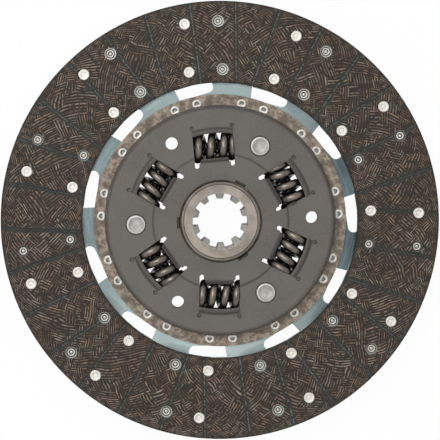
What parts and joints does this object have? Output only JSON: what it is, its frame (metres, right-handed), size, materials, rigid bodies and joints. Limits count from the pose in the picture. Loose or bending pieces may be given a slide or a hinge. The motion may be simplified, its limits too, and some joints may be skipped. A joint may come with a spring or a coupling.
{
  "type": "clutch disc",
  "caption": "Dry clutch disc: splined hub, coil spring damper between a cover and a drive plate, cushion segments and riveted, grooved friction facings.",
  "frame": {"origin": "centre of the splined bore at the hub's rear end, on which the disc lies", "axes": "+Z along the bore towards the gearbox side, out of the cover plate; +X and +Y lie in the plane of the facings"},
  "size_m": [0.35, 0.35, 0.0452],
  "materials": {
    "hub_steel": "satin, turned",
    "friction_ring": "matt",
    "cone_spring_steel": "satin",
    "drive_plate_steel": "matt, phosphated",
    "cover_steel": "matt, phosphated",
    "pin_steel": "satin",
    "segment_steel": "satin, blued",
    "rivet_steel": "satin",
    "friction_lining": "matt, woven",
    "facing_rivet_metal": "satin, plated",
    "spring_steel": "satin, oiled"
  },
  "bodies": {
    "hub": {"hub": "hub_steel"},
    "disc": {"rear_friction_ring": "friction_ring", "front_friction_ring": "friction_ring", "cone_spring": "cone_spring_steel", "drive_plate": "drive_plate_steel", "cover_plate": "cover_steel", "stop_pin_1": "pin_steel", "stop_pin_2": "pin_steel", "stop_pin_3": "pin_steel", "cushion_segment_01": "segment_steel", "cushion_segment_02": "segment_steel", "cushion_segment_03": "segment_steel", "cushion_segment_04": "segment_steel", "cushion_segment_05": "segment_steel", "cushion_segment_06": "segment_steel", "cushion_segment_07": "segment_steel", "cushion_segment_08": "segment_steel", "cushion_segment_09": "segment_steel", "cushion_segment_10": "segment_steel", "cushion_segment_11": "segment_steel", "segment_rivets": "rivet_steel", "front_facing": "friction_lining", "back_facing": "friction_lining", "front_facing_rivets": "facing_rivet_metal", "back_facing_rivets": "facing_rivet_metal"},
    "springs": {"outer_spring_1": "spring_steel", "outer_spring_2": "spring_steel", "outer_spring_3": "spring_steel", "outer_spring_4": "spring_steel", "outer_spring_5": "spring_steel", "outer_spring_6": "spring_steel", "inner_spring_1": "spring_steel", "inner_spring_2": "spring_steel", "inner_spring_3": "spring_steel", "inner_spring_4": "spring_steel", "inner_spring_5": "spring_steel", "inner_spring_6": "spring_steel"}
  },
  "joints": [
    {"name": "disc_twist", "type": "hinge", "parent": "hub", "child": "disc", "pos_m": [0, 0, 0], "axis": [0, 0, 1], "range_deg": [-5, 5], "stiffness_Nm_per_rad": 12000},
    {"name": "spring_float", "type": "hinge", "parent": "hub", "child": "springs", "pos_m": [0, 0, 0], "axis": [0, 0, 1], "range_deg": [-2.5, 2.5], "deforming": ["outer_spring_1", "outer_spring_2", "outer_spring_3", "outer_spring_4", "outer_spring_5", "outer_spring_6", "inner_spring_1", "inner_spring_2", "inner_spring_3", "inner_spring_4", "inner_spring_5", "inner_spring_6"]}
  ],
  "couplings": [
    {"joint": "spring_float", "follows": "disc_twist", "ratio": 0.5}
  ]
}
